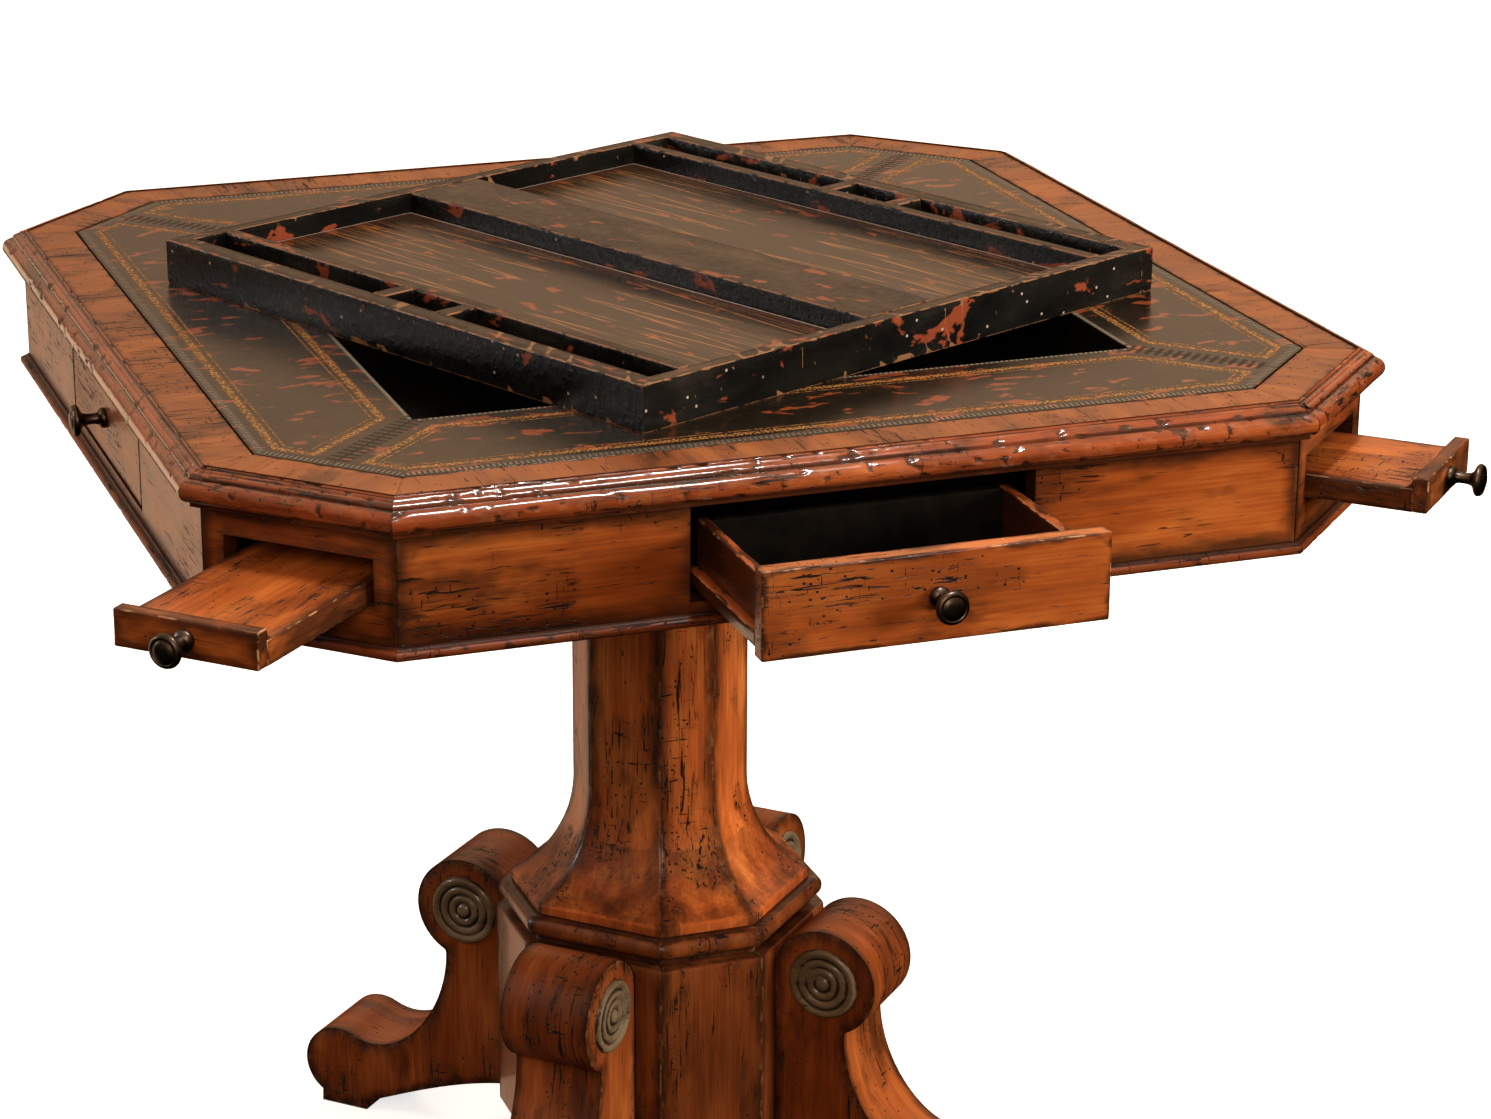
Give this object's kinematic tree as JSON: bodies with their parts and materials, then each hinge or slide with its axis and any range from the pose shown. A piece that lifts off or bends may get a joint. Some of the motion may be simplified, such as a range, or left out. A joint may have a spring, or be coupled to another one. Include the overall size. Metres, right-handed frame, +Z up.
{
  "type": "gaming table",
  "caption": "Octagonal pedestal gaming table with a leather top, a sunk square well, a lift-out backgammon tray, side drawers and corner slides.",
  "frame": {"origin": "floor level on the pedestal's axis, which is the middle of the octagonal top", "axes": "+Z up; -Y out of the side whose drawer stands open (the front), +X to the right seen from the front"},
  "size_m": [1.0161, 1.0712, 0.7974],
  "materials": {
    "walnut": "distressed red-brown wood under a glossy varnish with dark glaze in the recesses",
    "dark_wood": "plain dark-stained secondary wood, low sheen",
    "crossband": "orange-brown cross-grained veneer, glossy and distressed",
    "leather": "olive-brown waxed leather with a gold-tooled border",
    "lacquer": "black lacquer rubbed through to red on its edges",
    "field": "olive-brown lacquered playing surface with gold lines",
    "bronze": "dark antique bronze, satin"
  },
  "bodies": {
    "table": {"top_board": "dark_wood", "crossband": "crossband", "lip_moulding": "walnut", "leather_front": "leather", "leather_right": "leather", "leather_back": "leather", "leather_left": "leather", "apron_front": "walnut", "apron_right": "walnut", "apron_back": "walnut", "apron_left": "walnut", "apron_front_right": "walnut", "apron_back_right": "walnut", "apron_back_left": "walnut", "apron_front_left": "walnut", "base_moulding": "walnut", "carcase_floor": "dark_wood", "well_frame": "lacquer", "well_floor": "lacquer", "slide_bearer_front_right": "dark_wood", "slide_bearer_back_right": "dark_wood", "slide_bearer_back_left": "dark_wood", "slide_bearer_front_left": "dark_wood", "column_plate": "dark_wood", "column": "walnut", "collar": "walnut", "pedestal_block": "walnut", "leg_front_right": "walnut", "leg_back_right": "walnut", "leg_back_left": "walnut", "leg_front_left": "walnut"},
    "front_drawer": {"drawer_front_front": "walnut", "drawer_box_front": "walnut", "drawer_knob_front": "bronze"},
    "right_drawer": {"drawer_front_right": "walnut", "drawer_box_right": "walnut", "drawer_knob_right": "bronze"},
    "back_drawer": {"drawer_front_back": "walnut", "drawer_box_back": "walnut", "drawer_knob_back": "bronze"},
    "left_drawer": {"drawer_front_left": "walnut", "drawer_box_left": "walnut", "drawer_knob_left": "bronze"},
    "front_right_slide": {"slide_front_right": "walnut", "slide_knob_front_right": "bronze"},
    "back_right_slide": {"slide_back_right": "walnut", "slide_knob_back_right": "bronze"},
    "back_left_slide": {"slide_back_left": "walnut", "slide_knob_back_left": "bronze"},
    "front_left_slide": {"slide_front_left": "walnut", "slide_knob_front_left": "bronze"},
    "tray": {"tray_frame": "lacquer", "tray_floor": "lacquer", "tray_bar": "field", "tray_field_left": "field", "tray_field_right": "field", "tray_rail_left": "lacquer", "tray_rail_right": "lacquer"}
  },
  "joints": [
    {"name": "front_drawer_slide", "type": "slide", "parent": "table", "child": "front_drawer", "axis": [0, -1, 0], "range_m": [-0.133, 0]},
    {"name": "right_drawer_slide", "type": "slide", "parent": "table", "child": "right_drawer", "axis": [1, 0, 0], "range_m": [0, 0.133]},
    {"name": "back_drawer_slide", "type": "slide", "parent": "table", "child": "back_drawer", "axis": [0, 1, 0], "range_m": [0, 0.133]},
    {"name": "left_drawer_slide", "type": "slide", "parent": "table", "child": "left_drawer", "axis": [-1, 0, 0], "range_m": [0, 0.133]},
    {"name": "front_right_slide_slide", "type": "slide", "parent": "table", "child": "front_right_slide", "axis": [0.7071, -0.7071, 0], "range_m": [-0.0903, 0.0494]},
    {"name": "back_right_slide_slide", "type": "slide", "parent": "table", "child": "back_right_slide", "axis": [0.7071, 0.7071, 0], "range_m": [0, 0.1397]},
    {"name": "back_left_slide_slide", "type": "slide", "parent": "table", "child": "back_left_slide", "axis": [-0.7071, 0.7071, 0], "range_m": [0, 0.1397]},
    {"name": "front_left_slide_slide", "type": "slide", "parent": "table", "child": "front_left_slide", "axis": [-0.7071, -0.7071, 0], "range_m": [-0.1397, 0]},
    {"name": "tray_lift", "type": "slide", "parent": "table", "child": "tray", "axis": [0, 0, 1], "range_m": [0, 0.2]}
  ]
}
